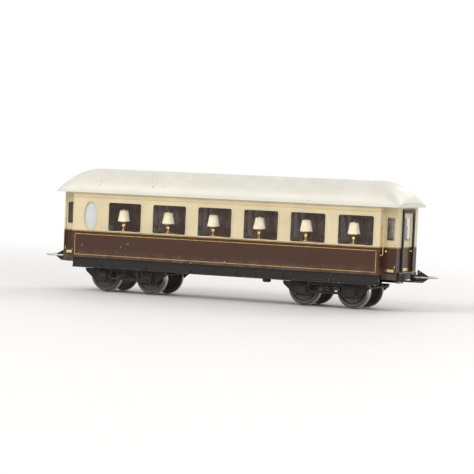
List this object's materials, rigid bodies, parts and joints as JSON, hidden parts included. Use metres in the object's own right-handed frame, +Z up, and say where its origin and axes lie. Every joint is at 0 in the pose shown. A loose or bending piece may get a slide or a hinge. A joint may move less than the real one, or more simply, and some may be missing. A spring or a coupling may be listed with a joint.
{
  "type": "gauge 0 model passenger coach",
  "caption": "Model parlour coach in two-tone tinplate with large saloon windows over table lamps, inset end vestibules, domed roof, swivelling bogies and hook couplings.",
  "frame": {"origin": "under the middle of the coach, on the surface that the wheel flanges stand on", "axes": "+X along the coach towards its front end, +Y to its left side, +Z up"},
  "size_m": [0.351, 0.0708, 0.104],
  "materials": {
    "coach_paint": "gloss",
    "roof_paint": "satin",
    "underframe_paint": "satin",
    "bogie_paint": "satin",
    "wheel_metal": "satin",
    "bright_steel": "polished",
    "coupling_steel": "satin",
    "window_glass": "gloss",
    "frosted_glass": "frosted",
    "panelling": "varnished",
    "table_wood": "varnished",
    "lamp_brass": "polished",
    "shade_paper": "matte",
    "chair_paint": "satin"
  },
  "bodies": {
    "coach_body": {"armchairs": "chair_paint", "bogie_pivot_front": "bright_steel", "bogie_pivot_rear": "bright_steel", "bolster_front": "underframe_paint", "bolster_rear": "underframe_paint", "brake_cylinder": "underframe_paint", "bulkheads": "panelling", "coupling_pin_front": "bright_steel", "coupling_pin_rear": "bright_steel", "door_front_left": "coach_paint", "door_front_right": "coach_paint", "door_glazing_front": "window_glass", "door_glazing_rear": "window_glass", "door_rear_left": "coach_paint", "door_rear_right": "coach_paint", "floor_plate": "underframe_paint", "gangway_door_front": "coach_paint", "gangway_door_rear": "coach_paint", "gangway_frame_front": "underframe_paint", "gangway_frame_rear": "underframe_paint", "handrails": "lamp_brass", "headstock_front": "underframe_paint", "headstock_rear": "underframe_paint", "lamp_shades": "shade_paper", "lavatory_glazing": "frosted_glass", "roof": "roof_paint", "saloon_glazing_left": "window_glass", "saloon_glazing_right": "window_glass", "saloon_partition": "panelling", "shoulders_front": "coach_paint", "shoulders_rear": "coach_paint", "side_left": "coach_paint", "side_right": "coach_paint", "solebar_left": "underframe_paint", "solebar_right": "underframe_paint", "table_lamps": "lamp_brass", "tables": "table_wood", "vestibule_front": "coach_paint", "vestibule_rear": "coach_paint"},
    "bogie_front": {"bogie_plate_front": "bogie_paint", "bogie_springs_front": "bogie_paint", "bogie_side_front_left": "bogie_paint", "bogie_side_front_right": "bogie_paint"},
    "wheelset_front_outer": {"axle_front_outer": "bright_steel", "wheels_front_outer": "wheel_metal"},
    "wheelset_front_inner": {"axle_front_inner": "bright_steel", "wheels_front_inner": "wheel_metal"},
    "coupling_front": {"drawhook_front": "coupling_steel", "coupling_loop_front": "bright_steel"},
    "bogie_rear": {"bogie_plate_rear": "bogie_paint", "bogie_springs_rear": "bogie_paint", "bogie_side_rear_left": "bogie_paint", "bogie_side_rear_right": "bogie_paint"},
    "wheelset_rear_outer": {"axle_rear_outer": "bright_steel", "wheels_rear_outer": "wheel_metal"},
    "wheelset_rear_inner": {"axle_rear_inner": "bright_steel", "wheels_rear_inner": "wheel_metal"},
    "coupling_rear": {"drawhook_rear": "coupling_steel", "coupling_loop_rear": "bright_steel"}
  },
  "joints": [
    {"name": "bogie_swivel_front", "type": "hinge", "parent": "coach_body", "child": "bogie_front", "pos_m": [0.09, 0, 0.018], "axis": [0, 0, 1], "range_deg": [-15, 15]},
    {"name": "wheel_spin_front_outer", "type": "hinge", "parent": "bogie_front", "child": "wheelset_front_outer", "pos_m": [0.111, 0, 0.0145], "axis": [0, 1, 0], "continuous": true},
    {"name": "wheel_spin_front_inner", "type": "hinge", "parent": "bogie_front", "child": "wheelset_front_inner", "pos_m": [0.069, 0, 0.0145], "axis": [0, 1, 0], "continuous": true},
    {"name": "coupling_swing_front", "type": "hinge", "parent": "coach_body", "child": "coupling_front", "pos_m": [0.143, 0, 0.024], "axis": [0, 0, 1], "range_deg": [-20, 20]},
    {"name": "bogie_swivel_rear", "type": "hinge", "parent": "coach_body", "child": "bogie_rear", "pos_m": [-0.09, 0, 0.018], "axis": [0, 0, 1], "range_deg": [-15, 15]},
    {"name": "wheel_spin_rear_outer", "type": "hinge", "parent": "bogie_rear", "child": "wheelset_rear_outer", "pos_m": [-0.111, 0, 0.0145], "axis": [0, 1, 0], "continuous": true},
    {"name": "wheel_spin_rear_inner", "type": "hinge", "parent": "bogie_rear", "child": "wheelset_rear_inner", "pos_m": [-0.069, 0, 0.0145], "axis": [0, 1, 0], "continuous": true},
    {"name": "coupling_swing_rear", "type": "hinge", "parent": "coach_body", "child": "coupling_rear", "pos_m": [-0.143, 0, 0.024], "axis": [0, 0, 1], "range_deg": [-20, 20]}
  ]
}
